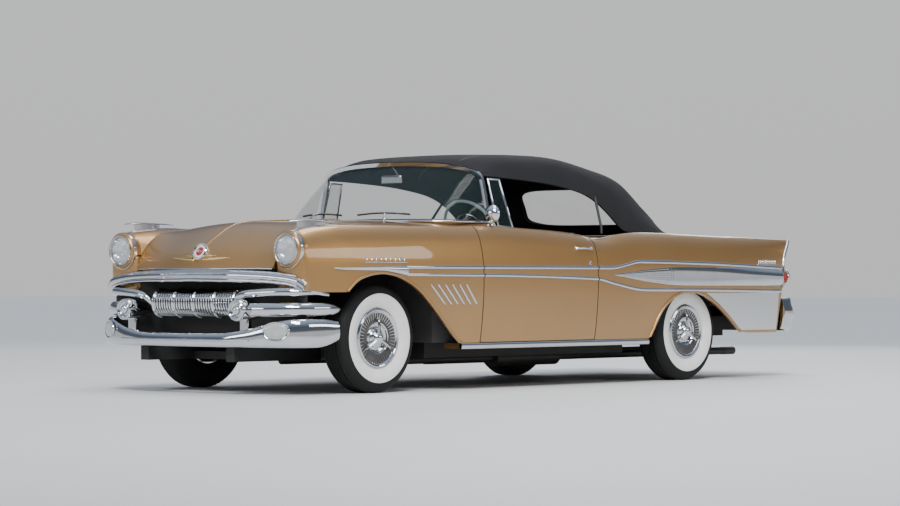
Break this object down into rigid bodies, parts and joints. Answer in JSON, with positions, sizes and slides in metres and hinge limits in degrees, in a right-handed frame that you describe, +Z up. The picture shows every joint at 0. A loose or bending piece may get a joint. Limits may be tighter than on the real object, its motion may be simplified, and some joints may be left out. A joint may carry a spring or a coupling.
{
  "type": "1950s convertible car",
  "caption": "Full-size two-door convertible car of the later 1950s, soft top up, with rolling and steered wheels, opening doors, hood and trunk.",
  "frame": {"origin": "on the ground, under the middle of the car's box", "axes": "+X to the car's left, -Y to its front, +Z up"},
  "size_m": [1.9116, 5.43, 1.545],
  "materials": {
    "body_paint": "gloss metallic",
    "chassis_black": "satin",
    "cast_iron": "rough",
    "exhaust_steel": "satin",
    "chrome": "polished",
    "lamp_red": "gloss",
    "glass": "clear",
    "dash_paint": "satin",
    "seat_vinyl": "satin",
    "top_cloth": "matte",
    "tyre": "matte",
    "wheel_plastic": "gloss"
  },
  "bodies": {
    "body": {"frame_rails": "chassis_black", "floor_pan": "chassis_black", "firewall": "chassis_black", "inner_fenders": "chassis_black", "engine_block": "cast_iron", "radiator": "chassis_black", "left_front_fender": "body_paint", "right_front_fender": "body_paint", "cowl_panel": "body_paint", "sills": "chrome", "left_rear_quarter": "body_paint", "right_rear_quarter": "body_paint", "tulip_panel": "body_paint", "tail_panel": "body_paint", "grille_bar": "chrome", "grille": "chrome", "front_bumper": "chrome", "rear_bumper": "chrome", "headlamps": "chrome", "tail_lamps": "lamp_red", "side_pods": "chrome", "windshield_frame": "chrome", "windshield_glass": "glass", "dashboard": "dash_paint", "steering_column": "chassis_black", "front_seat": "seat_vinyl", "rear_seat": "seat_vinyl", "soft_top": "top_cloth", "top_bows": "chassis_black", "fuel_tank": "chassis_black", "exhaust": "exhaust_steel", "front_suspension": "chassis_black", "rear_axle": "chassis_black", "leaf_springs": "chassis_black", "drive_line": "cast_iron", "interior_mirror": "chrome"},
    "hood": {"hood": "body_paint"},
    "trunk_lid": {"trunk_lid": "body_paint"},
    "left_door": {"left_door": "body_paint", "left_vent_window": "chrome", "door_mirror": "chrome"},
    "right_door": {"right_door": "body_paint", "right_vent_window": "chrome"},
    "left_knuckle": {"left_knuckle": "chassis_black"},
    "right_knuckle": {"right_knuckle": "chassis_black"},
    "front_left_wheel": {"front_left_tyre": "tyre", "front_left_wheel": "chrome"},
    "front_right_wheel": {"front_right_tyre": "tyre", "front_right_wheel": "chrome"},
    "rear_left_wheel": {"rear_left_tyre": "tyre", "rear_left_wheel": "chrome"},
    "rear_right_wheel": {"rear_right_tyre": "tyre", "rear_right_wheel": "chrome"},
    "steering_wheel": {"steering_wheel": "wheel_plastic"}
  },
  "joints": [
    {"name": "left_steer", "type": "hinge", "parent": "body", "child": "left_knuckle", "pos_m": [0.69, -1.8, 0.338], "axis": [0, 0, 1], "range_deg": [-33, 33]},
    {"name": "right_steer", "type": "hinge", "parent": "body", "child": "right_knuckle", "pos_m": [-0.69, -1.8, 0.338], "axis": [0, 0, 1], "range_deg": [-33, 33]},
    {"name": "steering_wheel_turn", "type": "hinge", "parent": "body", "child": "steering_wheel", "pos_m": [0.38, -0.4, 1.03], "axis": [0, 0.8829, 0.4695], "range_deg": [-660, 660]},
    {"name": "front_left_spin", "type": "hinge", "parent": "left_knuckle", "child": "front_left_wheel", "pos_m": [0.7495, -1.8, 0.338], "axis": [1, 0, 0], "continuous": true},
    {"name": "front_right_spin", "type": "hinge", "parent": "right_knuckle", "child": "front_right_wheel", "pos_m": [-0.7495, -1.8, 0.338], "axis": [1, 0, 0], "continuous": true},
    {"name": "rear_left_spin", "type": "hinge", "parent": "body", "child": "rear_left_wheel", "pos_m": [0.7545, 1.35, 0.338], "axis": [1, 0, 0], "continuous": true},
    {"name": "rear_right_spin", "type": "hinge", "parent": "body", "child": "rear_right_wheel", "pos_m": [-0.7545, 1.35, 0.338], "axis": [1, 0, 0], "continuous": true},
    {"name": "left_door_hinge", "type": "hinge", "parent": "body", "child": "left_door", "pos_m": [0.938, -0.886, 0.7], "axis": [0, 0, -1], "range_deg": [0, 65]},
    {"name": "right_door_hinge", "type": "hinge", "parent": "body", "child": "right_door", "pos_m": [-0.938, -0.886, 0.7], "axis": [0, 0, 1], "range_deg": [0, 65]},
    {"name": "hood_hinge", "type": "hinge", "parent": "body", "child": "hood", "pos_m": [0, -1.305, 1.092], "axis": [-1, 0, 0], "range_deg": [0, 45]},
    {"name": "trunk_hinge", "type": "hinge", "parent": "body", "child": "trunk_lid", "pos_m": [0, 1.657, 1.014], "axis": [1, 0, 0], "range_deg": [0, 60]}
  ],
  "couplings": [
    {"joint": "right_steer", "follows": "left_steer", "ratio": 1},
    {"joint": "steering_wheel_turn", "follows": "left_steer", "ratio": 20}
  ]
}
